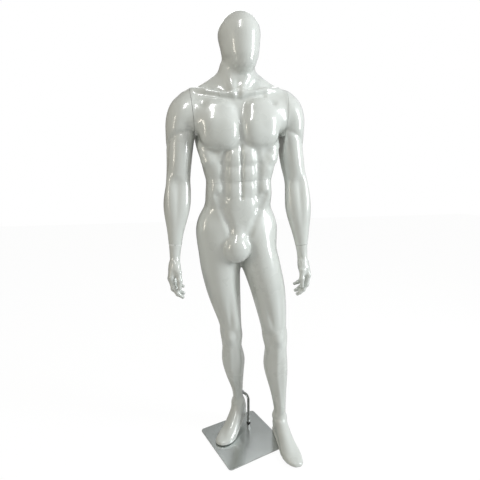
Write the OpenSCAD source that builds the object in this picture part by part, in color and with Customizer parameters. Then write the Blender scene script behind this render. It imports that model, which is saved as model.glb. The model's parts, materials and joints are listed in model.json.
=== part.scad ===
// Full-height display mannequin on a square steel base.
// The figure's body faces -Y, +X is its left-hand side and +Z is up.
// The origin is the centre of the base's underside. Lengths are in millimetres.

/* [Base] */
// Side of the square base plate
plate_side = 300; // [280:1:340]
// Thickness of the base plate
plate_t = 5; // [4:0.5:8]
// Corner radius of the base plate
plate_corner_r = 14; // [4:1:30]
// Turn of the base plate under the figure, degrees
plate_turn = 20; // [0:1:45]
// Thickness of the felt mat under the plate
mat_t = 1; // [1:0.5:3]

/* [Calf rod] */
// Diameter of the calf rod
rod_d = 12.7; // [10:0.1:14]
// Bend radius of the calf rod's centre line
rod_bend_r = 56; // [45:1:60]
// Length of rod that stands in the calf socket
rod_grip = 50; // [40:1:52]

/* [Shells] */
// Wall thickness of the moulded shells
wall = 5; // [4:0.5:6]
// Thickness of the closed wall at each seam
deck_t = 9; // [8:0.5:12]
// Gap between two shells at a seam
seam_gap = 1; // [0.8:0.1:1.4]
// Radial room around each fitting where it sits in a shell
pocket_clearance = 0.2; // [0.1:0.05:0.4]

/* [Fittings] */
// Diameter of the two waist plates
waist_plate_d = 130; // [120:1:140]
// Diameter of the waist stud
waist_stud_d = 25; // [20:1:28]
// Diameter of the four shoulder plates
shoulder_plate_d = 78; // [70:1:84]
// Diameter of the shoulder studs
shoulder_stud_d = 12; // [10:1:14]
// Thickness of every fitting plate
fitting_t = 3; // [3:0.5:4]
// Diameter of the wrist pegs
peg_d = 10; // [8:1:12]
// Radial clearance of every turning fit
turn_clearance = 0.05; // [0.02:0.01:0.08]

/* [Hidden] */

plate_top = mat_t + plate_t;
$fn = 64;
ring_sides = 20;
pocket_fn = 40;

// Calf rod: foot on the plate, top of the straight part, direction and angle of the bend
rod_foot = [47, 94];
rod_straight_z = 132;
rod_turn = 195;
rod_bend = 50;
bend_swell = 0.4;
bend_lap = 3;
bolt_d = 6;
bolt_head_d = 12;
bolt_head_h = 3.2;
bolt_len = 24;
bush_d = 20;
bush_h = 5;

// Calf socket
socket_wall = 2.5;
socket_start = 14;
socket_end_gap = 0.3;
socket_clearance = 0.1;

// Seam planes: centre and turn of each one's outward normal
waist_at = [-5, 42, 1211];
waist_tilt = [0, -4, 0];
right_shoulder_at = [-196, 45, 1478];
right_shoulder_tilt = [0, 85, 0];
left_shoulder_at = [196, 50, 1490];
left_shoulder_tilt = [0, -87, 0];
right_wrist_at = [-283, -4, 948];
right_wrist_tilt = [-10, 4, 0];
left_wrist_at = [272, -4, 928];
left_wrist_tilt = [-8, -3, 0];

// Waist lock
lock_bar_l = 36;
lock_bar_w = 9;
lock_bar_h = 4;
lock_turn = 35;
lock_lift = 0.4;
waist_screw_pcd = 100;
waist_screw_d = 5;
ring_board_t = 12;
ring_board_hole = 56;

// Shoulder lock
stud_head_d = 19;
stud_head_h = 3;
keyhole_rise = 22;
keyhole_entry_d = 20;
shoulder_screw_pcd = 62;
shoulder_screw_d = 4;
screw_len = 8;
pocket_depth = 20;

// Wrists
wrist_socket_d = 17;
wrist_socket_len = 32;
peg_len = 28;
peg_root = 26;

white = [0.9, 0.92, 0.91];
steel = [0.66, 0.67, 0.68];
dark = [0.12, 0.12, 0.12];

// ---- Lofted shells -------------------------------------------------------
// A station is [x, y, z, turn x, turn y, turn z, half width, half depth].
// Stations run the way each ring's own +Z points.

function smooth4(p, q, r, s, t) =
    0.5 * (2 * q + (r - p) * t + (2 * p - 5 * q + 4 * r - s) * t * t + (3 * q - p - 3 * r + s) * t * t * t);

function refine(st, n) = let (last = len(st) - 1) concat(
    [for (i = [0 : last - 1], k = [0 : n - 1])
        smooth4(st[max(i - 1, 0)], st[i], st[i + 1], st[min(i + 2, last)], k / n)],
    [st[last]]);

function turned(v, r) =
    let (a = [v.x, v.y * cos(r.x) - v.z * sin(r.x), v.y * sin(r.x) + v.z * cos(r.x)])
    let (b = [a.x * cos(r.y) + a.z * sin(r.y), a.y, a.z * cos(r.y) - a.x * sin(r.y)])
    [b.x * cos(r.z) - b.y * sin(r.z), b.x * sin(r.z) + b.y * cos(r.z), b.z];

function ring_of(s, grow) = [for (i = [0 : ring_sides - 1])
    let (a = 360 * i / ring_sides)
    [s[0], s[1], s[2]]
        + turned([max(s[6] + grow, 1) * cos(a), max(s[7] + grow, 1) * sin(a), 0], [s[3], s[4], s[5]])];

// Closed skin through the rings of refined stations
module loft(stations, grow = 0) {
    steps = grow < 0 ? 1 : 2;
    st = refine(stations, steps);
    n = ring_sides;
    rows = len(st);
    points = [for (s = st) each ring_of(s, grow)];
    sides = [for (r = [0 : rows - 2], i = [0 : n - 1])
        let (a = r * n + i, b = r * n + (i + 1) % n)
        each [[a, a + n, b + n], [a, b + n, b]]];
    bottom = [for (i = [0 : n - 1]) i];
    top = [for (i = [n - 1 : -1 : 0]) (rows - 1) * n + i];
    polyhedron(points = points, faces = concat([bottom, top], sides), convexity = 6);
}

// A shell's cavity leaves out the end stations that stand in open air, so that the wall closes there
function closed_in(stations, first, last, grow) =
    grow < 0 ? [for (i = [first : len(stations) - 1 - last]) stations[i]] : stations;

// Everything past a seam plane, on the side its normal points to
module beyond(at, tilt, offset = 0) {
    reach = 2600;
    translate(at) rotate(tilt) translate([-reach / 2, -reach / 2, offset]) cube(reach);
}

module at_seam(at, tilt) {
    translate(at) rotate(tilt) children();
}

// One closed mesh, so that a shell made of many lofts stays one solid
module one_skin() {
    resize([0, 0, 0]) children();
}

// ---- Figure stations -----------------------------------------------------

trunk = [
    [-6, 42, 1100, 0, 0, 0, 146, 100],
    [-5, 42, 1160, 0, 0, 0, 141, 98],
    [-5, 42, 1211, 0, 0, 0, 140, 98],
    [-6, 42, 1290, 0, 0, 0, 158, 108],
    [-5, 42, 1370, 0, 0, 0, 178, 120],
    [-3, 45, 1450, 0, 0, 0, 188, 124],
    [0, 50, 1530, 0, 0, 0, 184, 108],
    [2, 52, 1570, 0, 0, 0, 172, 94],
    [0, 52, 1600, 0, 0, 0, 132, 78],
    [-4, 50, 1630, 0, 0, 0, 92, 70],
    [-5, 46, 1665, 0, 0, 0, 64, 63],
    [-3, 38, 1710, 0, 0, 0, 56, 60]
];

yoke = [
    [-230, 45, 1476, 0, 90, 0, 88, 76],
    [-190, 45, 1478, 0, 90, 0, 90, 78],
    [-110, 46, 1482, 0, 90, 0, 100, 100],
    [0, 46, 1480, 0, 90, 0, 96, 104],
    [110, 48, 1490, 0, 90, 0, 100, 100],
    [190, 50, 1490, 0, 90, 0, 90, 78],
    [230, 50, 1490, 0, 90, 0, 88, 76]
];

head = [
    [0, -4, 1640, 0, 0, 15, 22, 30],
    [1, 6, 1662, 0, 0, 15, 52, 64],
    [1, 18, 1715, 0, 0, 15, 74, 92],
    [1, 24, 1775, 0, 0, 15, 82, 104],
    [1, 26, 1830, 0, 0, 15, 73, 93],
    [1, 28, 1866, 0, 0, 15, 42, 56],
    [1, 28, 1879, 0, 0, 15, 8, 10]
];

pelvis = [
    [-8, 50, 872, 0, 0, 0, 146, 88],
    [-9, 51, 892, 0, 0, 0, 158, 98],
    [-10, 52, 930, 0, 0, 0, 172, 112],
    [-14, 52, 985, 0, 0, 0, 174, 116],
    [-12, 48, 1060, 0, 0, 0, 158, 108],
    [-6, 44, 1140, 0, 0, 0, 142, 99],
    [-5, 42, 1211, 0, 0, 0, 140, 98],
    [-5, 42, 1260, 0, 0, 0, 140, 98]
];

right_leg = [
    [-2, 104, 100, 0, 0, 0, 26, 32],
    [-4, 98, 165, 0, 0, 0, 27, 33],
    [-10, 90, 215, 0, 0, 0, 29, 35],
    [-24, 74, 300, 0, 0, 0, 43, 47],
    [-34, 58, 384, 0, 0, 0, 53, 56],
    [-41, 40, 474, 0, 0, 0, 43, 54],
    [-44, 32, 533, 0, 0, 0, 49, 60],
    [-52, 32, 600, 0, 0, 0, 55, 68],
    [-74, 38, 725, 0, 0, 0, 76, 88],
    [-88, 44, 840, 0, 0, 0, 88, 98],
    [-92, 48, 930, 0, 0, 0, 88, 100]
];

left_leg = [
    [179, -6, 60, 0, 0, 0, 26, 35],
    [179, -10, 116, 0, 0, 0, 28, 34],
    [171, -4, 235, 0, 0, 0, 40, 46],
    [160, -2, 345, 0, 0, 0, 55, 58],
    [155, -12, 452, 0, 0, 0, 50, 57],
    [140, -6, 584, 0, 0, 0, 61, 70],
    [118, 6, 726, 0, 0, 0, 77, 88],
    [92, 20, 840, 0, 0, 0, 86, 98],
    [84, 32, 930, 0, 0, 0, 78, 100]
];

// Foot outline from heel to toe: [distance, half width, underside, upper side]
foot_outline = [
    [0, 12, 24, 48], [18, 25, 10, 84], [55, 30, 2, 118], [100, 32, 2, 98],
    [150, 37, 2, 66], [195, 41, 2, 44], [232, 34, 2, 31], [256, 21, 3, 22], [268, 6, 8, 16]
];
foot_ball = 195;
sole_z = plate_top + 2.5;

function foot_stations(heel, turn, length, lift) = [for (p = foot_outline)
    let (s = p[0] * length / 268, rise = lift * max(0, 1 - p[0] / foot_ball))
    [heel.x + s * sin(turn), heel.y - s * cos(turn), sole_z + (p[2] + p[3]) / 2 - 2 + rise,
     90, 0, turn, p[1], (p[3] - p[2]) / 2]];

right_foot = foot_stations([30, 144], -38, 234, 48);
left_foot = foot_stations([176, 44], 4, 276, 0);

right_arm_line = [
    [-285, -10, 915, -10, 4, 0, 26, 25],
    [-283, -4, 948, -10, 4, 0, 27, 27],
    [-280, 6, 1000, -10, 4, 0, 35, 34],
    [-270, 27, 1105, -8, 4, 0, 57, 48],
    [-262, 40, 1200, 0, 4, 0, 52, 50],
    [-254, 42, 1290, 0, 4, 0, 55, 58],
    [-246, 43, 1380, 0, 10, 0, 58, 66],
    [-240, 44, 1436, 0, 32, 0, 66, 74],
    [-222, 44, 1466, 0, 60, 0, 84, 78],
    [-196, 45, 1478, 0, 85, 0, 90, 78],
    [-180, 45, 1479, 0, 85, 0, 90, 78]
];

left_arm_line = [
    [274, -9, 895, -8, -3, 0, 26, 25],
    [272, -4, 928, -8, -3, 0, 27, 27],
    [270, 4, 975, -8, -3, 0, 36, 34],
    [263, 18, 1065, -8, -3, 0, 57, 48],
    [260, 26, 1115, -6, -4, 0, 58, 50],
    [254, 38, 1201, 0, -7, 0, 50, 50],
    [240, 42, 1285, 0, -9, 0, 54, 58],
    [228, 46, 1380, 0, -12, 0, 56, 66],
    [226, 48, 1446, 0, -34, 0, 66, 74],
    [213, 50, 1478, 0, -62, 0, 84, 78],
    [196, 50, 1490, 0, -87, 0, 90, 78],
    [182, 50, 1491, 0, -87, 0, 90, 78]
];

// Hands hang from the origin, palm towards the body, wrist axis along Z
hand_line = [
    [42, 0, -202, 0, -60, 0, 8, 28],
    [24, 0, -194, 0, -52, 0, 10, 36],
    [2, 0, -176, 0, -34, 0, 12, 40],
    [-12, 0, -145, 0, -8, 0, 14, 42],
    [-8, 0, -108, 0, 6, 0, 16, 39],
    [1, 0, -70, 0, 4, 0, 21, 28],
    [0, 0, -30, 0, 0, 0, 24, 26],
    [0, 0, 20, 0, 0, 0, 28, 28]
];
thumb_line = [
    [27, -34, -182, 0, 0, 0, 8, 8],
    [27, -34, -158, 0, 0, 0, 9, 10],
    [22, -31, -125, 0, 0, 0, 11, 12],
    [8, -14, -82, 0, 0, 0, 14, 15]
];

// ---- Base ----------------------------------------------------------------

module rounded_square(side, r) {
    inner = side - 2 * r;
    square([side, inner], center = true);
    square([inner, side], center = true);
    for (x = [-1, 1], y = [-1, 1]) {
        translate([x, y] * inner / 2) circle(r);
    }
}

module base_plate() {
    color(steel) difference() {
        rotate(plate_turn) translate([0, 0, mat_t])
            linear_extrude(plate_t) rounded_square(plate_side, plate_corner_r);
        translate([rod_foot.x, rod_foot.y, 0]) bolt_shape();
    }
}

module base_mat() {
    mat_inset = 4;
    access_hole_d = 18;
    color(dark) difference() {
        rotate(plate_turn)
            linear_extrude(mat_t) rounded_square(plate_side - 2 * mat_inset, plate_corner_r);
        translate([rod_foot.x, rod_foot.y, -1]) cylinder(d = access_hole_d, h = mat_t + 2);
    }
}

module bolt_shape() {
    translate([0, 0, mat_t]) {
        cylinder(d1 = bolt_head_d, d2 = bolt_d, h = bolt_head_h);
        cylinder(d = bolt_d, h = bolt_len);
    }
}

module base_bolt() {
    key_d = 4;
    key_depth = 2;
    color(steel) translate([rod_foot.x, rod_foot.y, 0]) difference() {
        bolt_shape();
        translate([0, 0, mat_t - 1]) cylinder(d = key_d, h = key_depth + 1, $fn = 6);
    }
}

// ---- Calf rod ------------------------------------------------------------

module at_rod_foot(z) {
    translate([rod_foot.x, rod_foot.y, z]) rotate(rod_turn) children();
}

// Puts children at the end of the bend, +Z along the rod's sloping end
module at_rod_end() {
    at_rod_foot(rod_straight_z) translate([rod_bend_r, 0, 0]) rotate([0, rod_bend, 0])
        translate([-rod_bend_r, 0, 0]) children();
}

// Two straight lengths lapped into a bend that the forming leaves slightly fuller
module support_rod() {
    color(steel) difference() {
        union() {
            at_rod_foot(plate_top) cylinder(d = rod_d, h = rod_straight_z - plate_top + bend_lap);
            at_rod_foot(rod_straight_z) translate([rod_bend_r, 0, 0]) rotate([90, 0, 0])
                rotate(180 - rod_bend) rotate_extrude(angle = rod_bend)
                    translate([rod_bend_r, 0]) circle(d = rod_d + bend_swell);
            at_rod_end() translate([0, 0, -bend_lap])
                cylinder(d = rod_d, h = bend_lap + socket_start + rod_grip);
        }
        at_rod_foot(0) bolt_shape();
    }
}

module rod_bush() {
    flare_h = 1.5;
    color(dark) translate([rod_foot.x, rod_foot.y, plate_top]) difference() {
        union() {
            cylinder(d = bush_d, h = bush_h - flare_h);
            translate([0, 0, bush_h - flare_h]) cylinder(d1 = bush_d, d2 = bush_d - 2 * flare_h, h = flare_h);
        }
        translate([0, 0, -1]) cylinder(d = rod_d, h = bush_h + 2);
    }
}

module calf_socket() {
    outer_d = rod_d + 2 * (socket_wall + socket_clearance);
    cap_t = 4;
    color(steel) at_rod_end() translate([0, 0, socket_start]) difference() {
        cylinder(d = outer_d, h = rod_grip + cap_t);
        translate([0, 0, -1])
            cylinder(d = rod_d + 2 * socket_clearance, h = rod_grip + socket_end_gap + 1);
    }
}

// Room for the calf socket through the leg's wall
module calf_socket_room() {
    outer_d = rod_d + 2 * (socket_wall + socket_clearance);
    mouth = 30;
    at_rod_end() translate([0, 0, socket_start - mouth]) pocket(outer_d, mouth + rod_grip + 6);
}

// Round recess that clears a fitting of diameter d
module pocket(d, h) {
    cylinder(d = d + 2 * pocket_clearance, h = h, $fn = pocket_fn);
}

// ---- Lower body ----------------------------------------------------------

module sole_cut() {
    translate([-400, -400, sole_z - 100]) cube([800, 800, 100]);
}

module lower_lofts(grow = 0) {
    difference() {
        union() {
            loft(closed_in(pelvis, 1, 0, grow), grow);
            loft(right_leg, grow);
            loft(left_leg, grow);
            loft(closed_in(right_foot, 1, 1, grow), grow);
            loft(closed_in(left_foot, 1, 1, grow), grow);
        }
        translate([0, 0, -grow]) sole_cut();
    }
}

module front_bulge() {
    translate([-28, -66, 930]) scale([30, 34, 33]) sphere(1, $fn = pocket_fn);
}

module lower_body() {
    color(white) one_skin() difference() {
        union() {
            lower_lofts();
            front_bulge();
        }
        beyond(waist_at, waist_tilt, -seam_gap / 2);
        difference() {
            lower_lofts(-wall);
            beyond(waist_at, waist_tilt, -seam_gap / 2 - deck_t);
        }
        calf_socket_room();
        at_seam(waist_at, waist_tilt) mirror([0, 0, 1]) waist_pocket();
    }
}

// Pocket for a waist plate, with the centre hole and the screw holes behind it
module waist_pocket() {
    floor_z = seam_gap / 2 + fitting_t;
    depth = 40;
    translate([0, 0, -seam_gap]) pocket(waist_plate_d, floor_z + seam_gap);
    pocket(ring_board_hole, depth);
    waist_screw_places() pocket(waist_screw_d, depth);
}

module waist_screw_places() {
    for (a = [45 : 90 : 315]) {
        rotate(a) translate([waist_screw_pcd / 2, 0, 0]) children();
    }
}

// Countersunk screw, head face at z = 0, shank towards +Z
module csk_screw(d, length, drive = true) {
    head_h = 0.5 * d;
    difference() {
        union() {
            cylinder(d1 = 2 * d, d2 = d, h = head_h);
            cylinder(d = d, h = length);
        }
        if (drive) {
            translate([0, 0, -1]) cylinder(d = 0.6 * d, h = 1 + 0.3 * d, $fn = 6);
        }
    }
}

module waist_ring_board() {
    board_d = waist_plate_d + 40;
    translate([0, 0, seam_gap / 2 + deck_t]) difference() {
        cylinder(d = board_d, h = ring_board_t);
        translate([0, 0, -1]) cylinder(d = ring_board_hole, h = ring_board_t + 2);
        translate([0, 0, -1]) waist_screw_places() cylinder(d = waist_screw_d, h = ring_board_t + 2);
    }
}

module waist_screw_set() {
    translate([0, 0, seam_gap / 2]) waist_screw_places() csk_screw(waist_screw_d, deck_t + ring_board_t - 2);
}

module waist_screw_holes() {
    translate([0, 0, seam_gap / 2]) waist_screw_places() csk_screw(waist_screw_d, 20, drive = false);
}

module lower_waist_ring() {
    color("burlywood") at_seam(waist_at, waist_tilt) mirror([0, 0, 1]) waist_ring_board();
}

module lower_waist_screws() {
    color(steel) at_seam(waist_at, waist_tilt) mirror([0, 0, 1]) waist_screw_set();
}

module lower_waist_plate() {
    color(steel) at_seam(waist_at, waist_tilt) mirror([0, 0, 1]) difference() {
        translate([0, 0, seam_gap / 2]) cylinder(d = waist_plate_d, h = fitting_t);
        cylinder(d = waist_stud_d, h = 20);
        waist_screw_holes();
    }
}

// Stud with a flange under the lower plate and a locking bar over the upper plate
module waist_stud() {
    under = seam_gap / 2 + fitting_t;
    bar_z = under + lock_lift;
    flange_d = 44;
    flange_t = 4;
    color(steel) at_seam(waist_at, waist_tilt) {
        translate([0, 0, -under - flange_t]) cylinder(d = flange_d, h = flange_t);
        translate([0, 0, -under]) cylinder(d = waist_stud_d, h = under + bar_z);
        translate([0, 0, bar_z]) rotate(lock_turn) linear_extrude(lock_bar_h) intersection() {
            square([lock_bar_l, lock_bar_w], center = true);
            circle(d = lock_bar_l);
        }
    }
}

// ---- Upper torso ---------------------------------------------------------

module upper_lofts(grow = 0) {
    loft(trunk, grow);
    loft(yoke, grow);
    loft(closed_in(head, 1, 1, grow), grow);
}

module beyond_shoulders(offset) {
    beyond(right_shoulder_at, right_shoulder_tilt + [0, 180, 0], offset);
    beyond(left_shoulder_at, left_shoulder_tilt + [0, 180, 0], offset);
}

module beyond_waist_down(offset) {
    beyond(waist_at, waist_tilt + [180, 0, 0], offset);
}

module upper_torso() {
    color(white) one_skin() difference() {
        upper_lofts();
        beyond_waist_down(-seam_gap / 2);
        beyond_shoulders(-seam_gap / 2);
        difference() {
            upper_lofts(-wall);
            beyond_waist_down(-seam_gap / 2 - deck_t);
            beyond_shoulders(-seam_gap / 2 - deck_t);
        }
        at_seam(waist_at, waist_tilt) waist_pocket();
        at_seam(right_shoulder_at, right_shoulder_tilt) shoulder_pocket(keyhole_rise);
        at_seam(left_shoulder_at, left_shoulder_tilt) shoulder_pocket(-keyhole_rise);
    }
}

module upper_waist_ring() {
    color("burlywood") at_seam(waist_at, waist_tilt) waist_ring_board();
}

module upper_waist_screws() {
    color(steel) at_seam(waist_at, waist_tilt) waist_screw_set();
}

// Upper plate: round bore for the stud and a slot that lets the locking bar through
module upper_waist_plate() {
    slot_slack = 1;
    color(steel) at_seam(waist_at, waist_tilt) difference() {
        translate([0, 0, seam_gap / 2]) cylinder(d = waist_plate_d, h = fitting_t);
        cylinder(d = waist_stud_d + 2 * turn_clearance, h = 20);
        linear_extrude(20) square([lock_bar_l + slot_slack, lock_bar_w + slot_slack], center = true);
        waist_screw_holes();
    }
}

// ---- Shoulder fittings ---------------------------------------------------
// In a shoulder seam's own frame +Z points into the torso and X runs up and down.

module shoulder_pocket(up) {
    shoulder_recess();
    translate([-up, 0, 0]) pocket(keyhole_entry_d + 2, pocket_depth);
}

// Recess for a shoulder plate, with the well for the stud and the screw holes
module shoulder_recess() {
    floor_z = seam_gap / 2 + fitting_t;
    well_d = 30;
    translate([0, 0, -seam_gap]) pocket(shoulder_plate_d, floor_z + seam_gap);
    pocket(well_d, pocket_depth);
    shoulder_screw_places() pocket(shoulder_screw_d, pocket_depth);
}

module shoulder_screw_places() {
    for (a = [45 : 90 : 315]) {
        rotate(a) translate([shoulder_screw_pcd / 2, 0, 0]) children();
    }
}

module shoulder_screw_set() {
    translate([0, 0, seam_gap / 2]) shoulder_screw_places() csk_screw(shoulder_screw_d, screw_len);
}

module shoulder_screw_holes() {
    translate([0, 0, seam_gap / 2]) shoulder_screw_places() csk_screw(shoulder_screw_d, 20, drive = false);
}

// Torso-side plate: the stud's neck turns in the lower end of the keyhole
module keyhole_plate(up) {
    difference() {
        translate([0, 0, seam_gap / 2]) cylinder(d = shoulder_plate_d, h = fitting_t);
        cylinder(d = shoulder_stud_d + 2 * turn_clearance, h = 20);
        translate([-up, 0, 0]) cylinder(d = keyhole_entry_d, h = 20);
        translate([-up / 2, 0, 10])
            cube([abs(up), shoulder_stud_d + 2 * turn_clearance, 20], center = true);
        shoulder_screw_holes();
    }
}

module arm_plate() {
    mirror([0, 0, 1]) difference() {
        translate([0, 0, seam_gap / 2]) cylinder(d = shoulder_plate_d, h = fitting_t);
        cylinder(d = shoulder_stud_d, h = 20);
        shoulder_screw_holes();
    }
}

// Headed stud: collar behind the arm plate, neck through both plates, head behind the torso plate
module arm_stud() {
    under = seam_gap / 2 + fitting_t;
    collar_d = 22;
    collar_h = 4;
    translate([0, 0, -under - collar_h]) cylinder(d = collar_d, h = collar_h);
    translate([0, 0, -under]) cylinder(d = shoulder_stud_d, h = 2 * under + lock_lift);
    translate([0, 0, under + lock_lift]) cylinder(d = stud_head_d, h = stud_head_h);
}

module right_keyhole_plate() {
    color(steel) at_seam(right_shoulder_at, right_shoulder_tilt) keyhole_plate(keyhole_rise);
}

module left_keyhole_plate() {
    color(steel) at_seam(left_shoulder_at, left_shoulder_tilt) keyhole_plate(-keyhole_rise);
}

module right_keyhole_screws() {
    color(steel) at_seam(right_shoulder_at, right_shoulder_tilt) shoulder_screw_set();
}

module left_keyhole_screws() {
    color(steel) at_seam(left_shoulder_at, left_shoulder_tilt) shoulder_screw_set();
}

module right_arm_plate() {
    color(steel) at_seam(right_shoulder_at, right_shoulder_tilt) arm_plate();
}

module left_arm_plate() {
    color(steel) at_seam(left_shoulder_at, left_shoulder_tilt) arm_plate();
}

module right_arm_stud() {
    color(steel) at_seam(right_shoulder_at, right_shoulder_tilt) arm_stud();
}

module left_arm_stud() {
    color(steel) at_seam(left_shoulder_at, left_shoulder_tilt) arm_stud();
}

module right_arm_screws() {
    color(steel) at_seam(right_shoulder_at, right_shoulder_tilt) mirror([0, 0, 1]) shoulder_screw_set();
}

module left_arm_screws() {
    color(steel) at_seam(left_shoulder_at, left_shoulder_tilt) mirror([0, 0, 1]) shoulder_screw_set();
}

// ---- Arms ----------------------------------------------------------------

// Arm shell between its wrist seam and its shoulder seam
module arm_shell(line, shoulder_at, shoulder_tilt, wrist_at, wrist_tilt) {
    one_skin() difference() {
        loft(line);
        beyond(shoulder_at, shoulder_tilt, -seam_gap / 2);
        beyond(wrist_at, wrist_tilt + [180, 0, 0], -seam_gap / 2);
        difference() {
            loft(line, -wall);
            beyond(shoulder_at, shoulder_tilt, -seam_gap / 2 - deck_t);
            beyond(wrist_at, wrist_tilt + [180, 0, 0], -seam_gap / 2 - wrist_socket_len);
        }
        at_seam(shoulder_at, shoulder_tilt) mirror([0, 0, 1]) shoulder_recess();
        at_seam(wrist_at, wrist_tilt) pocket(wrist_socket_d, wrist_socket_len + wall);
    }
}

module right_arm() {
    color(white)
        arm_shell(right_arm_line, right_shoulder_at, right_shoulder_tilt, right_wrist_at, right_wrist_tilt);
}

module left_arm() {
    color(white)
        arm_shell(left_arm_line, left_shoulder_at, left_shoulder_tilt, left_wrist_at, left_wrist_tilt);
}

// ---- Wrists and hands ----------------------------------------------------

module wrist_socket() {
    translate([0, 0, seam_gap / 2]) difference() {
        cylinder(d = wrist_socket_d, h = wrist_socket_len);
        translate([0, 0, -1]) cylinder(d = peg_d + 2 * turn_clearance, h = peg_len + 1);
    }
}

module wrist_peg() {
    translate([0, 0, -peg_root]) cylinder(d = peg_d, h = peg_root + peg_len - 1);
}

module hand() {
    one_skin() difference() {
        union() {
            loft(hand_line);
            loft(thumb_line);
        }
        translate([-50, -50, -seam_gap / 2]) cube(100);
        translate([0, 0, -peg_root]) pocket(peg_d, peg_root + 1);
    }
}

module right_hand() {
    color(white) at_seam(right_wrist_at, right_wrist_tilt) hand();
}

module left_hand() {
    color(white) at_seam(left_wrist_at, left_wrist_tilt) mirror([1, 0, 0]) hand();
}

module right_wrist_socket() {
    color(steel) at_seam(right_wrist_at, right_wrist_tilt) wrist_socket();
}

module left_wrist_socket() {
    color(steel) at_seam(left_wrist_at, left_wrist_tilt) wrist_socket();
}

module right_wrist_peg() {
    color(steel) at_seam(right_wrist_at, right_wrist_tilt) wrist_peg();
}

module left_wrist_peg() {
    color(steel) at_seam(left_wrist_at, left_wrist_tilt) wrist_peg();
}

base_plate();
base_mat();
base_bolt();
support_rod();
rod_bush();
lower_body();
calf_socket();
lower_waist_ring();
lower_waist_plate();
lower_waist_screws();
waist_stud();
upper_torso();
upper_waist_ring();
upper_waist_plate();
upper_waist_screws();
right_keyhole_plate();
left_keyhole_plate();
right_keyhole_screws();
left_keyhole_screws();
right_arm();
right_arm_plate();
right_arm_stud();
right_arm_screws();
right_wrist_socket();
left_arm();
left_arm_plate();
left_arm_stud();
left_arm_screws();
left_wrist_socket();
right_hand();
right_wrist_peg();
left_hand();
left_wrist_peg();
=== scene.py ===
import json
import math

import bmesh
import bpy
import numpy as np
from mathutils import Matrix, Vector


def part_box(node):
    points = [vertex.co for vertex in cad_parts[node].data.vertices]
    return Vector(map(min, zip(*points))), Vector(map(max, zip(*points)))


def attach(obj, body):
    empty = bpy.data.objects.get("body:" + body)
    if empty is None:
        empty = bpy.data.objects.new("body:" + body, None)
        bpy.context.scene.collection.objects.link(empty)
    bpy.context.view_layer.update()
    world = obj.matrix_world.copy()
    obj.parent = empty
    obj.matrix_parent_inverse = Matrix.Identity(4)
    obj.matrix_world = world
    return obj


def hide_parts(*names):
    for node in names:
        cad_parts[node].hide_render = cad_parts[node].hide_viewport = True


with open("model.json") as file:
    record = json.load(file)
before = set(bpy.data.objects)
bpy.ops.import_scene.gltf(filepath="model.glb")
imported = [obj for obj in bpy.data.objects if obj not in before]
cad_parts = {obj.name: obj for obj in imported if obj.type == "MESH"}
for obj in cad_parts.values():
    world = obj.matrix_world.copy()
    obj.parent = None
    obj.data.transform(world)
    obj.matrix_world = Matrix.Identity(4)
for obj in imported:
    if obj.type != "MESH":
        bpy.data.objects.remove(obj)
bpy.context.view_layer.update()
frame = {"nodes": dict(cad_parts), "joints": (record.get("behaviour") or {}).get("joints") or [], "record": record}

# The body shells are sculpted as smooth distance fields, in millimetres in the frame's own axes:
# the figure faces -Y, +X is its left-hand side and +Z is up. One loop turns each field into a mesh.

MM = 0.001
SEAM_GAP = 1.2
WAIST_GAP = 0.4
OVERRUN = 14.0


# ---- Seam planes, taken from the frame's joints ---------------------------------------------

def joint_plane(name):
    joint = next(j for j in frame["joints"] if j["name"] == name)
    return np.array(joint["pos_m"]) / MM, np.array(joint["axis"])


WAIST = joint_plane("waist_turn")
RIGHT_SHOULDER = joint_plane("right_shoulder_turn")
LEFT_SHOULDER = joint_plane("left_shoulder_turn")
RIGHT_WRIST = joint_plane("right_wrist_turn")
LEFT_WRIST = joint_plane("left_wrist_turn")


# ---- Distance-field tools --------------------------------------------------------------------

def turn(rx=0.0, ry=0.0, rz=0.0):
    """Rotation matrix for turns in degrees about X, then Y, then Z."""
    rot = Matrix.Rotation(math.radians(rz), 3, "Z")
    rot = rot @ Matrix.Rotation(math.radians(ry), 3, "Y") @ Matrix.Rotation(math.radians(rx), 3, "X")
    return np.array(rot)


def ball(p, centre, radii, angles=(0, 0, 0)):
    """Distance to an ellipsoid."""
    q = (p - np.array(centre, float)) @ turn(*angles)
    q = q / np.array(radii, float)
    k0 = np.linalg.norm(q, axis=1)
    k1 = np.linalg.norm(q / np.array(radii, float), axis=1)
    return k0 * (k0 - 1) / np.maximum(k1, 1e-6)


def rod(p, a, b, ra, rb):
    """Distance to a rounded bar whose radius goes from ra at a to rb at b."""
    a, b = np.array(a, float), np.array(b, float)
    ab = b - a
    t = np.clip((p - a) @ ab / (ab @ ab), 0, 1)
    return np.linalg.norm(p - a - t[:, None] * ab, axis=1) - (ra + (rb - ra) * t)


def chain(p, points, radii, k):
    """Rounded bars end to end, melted together."""
    d = rod(p, points[0], points[1], radii[0], radii[1])
    for i in range(1, len(points) - 1):
        d = join(d, rod(p, points[i], points[i + 1], radii[i], radii[i + 1]), k)
    return d


def join(a, b, k):
    """Union with a fillet of size k."""
    h = np.clip(0.5 + 0.5 * (b - a) / k, 0, 1)
    return b + (a - b) * h - k * h * (1 - h)


def keep(a, b, k):
    """Intersection with a rounded edge of size k."""
    return -join(-a, -b, k)


def carve(a, b, k):
    """a with b taken away, edges rounded by k."""
    return keep(a, -b, k)


def spline_rows(stations, steps=12):
    """Catmull-Rom samples between given stations, as one array."""
    st = np.array(stations, float)
    padded = np.vstack([2 * st[0] - st[1], st, 2 * st[-1] - st[-2]])
    rows = []
    for i in range(len(st) - 1):
        a, b, c, d = padded[i:i + 4]
        for t in np.arange(steps) / steps:
            rows.append(0.5 * (2 * b + (c - a) * t + (2 * a - 5 * b + 4 * c - d) * t ** 2
                               + (3 * b - a - 3 * c + d) * t ** 3))
    rows.append(st[-1])
    return np.array(rows)


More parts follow.
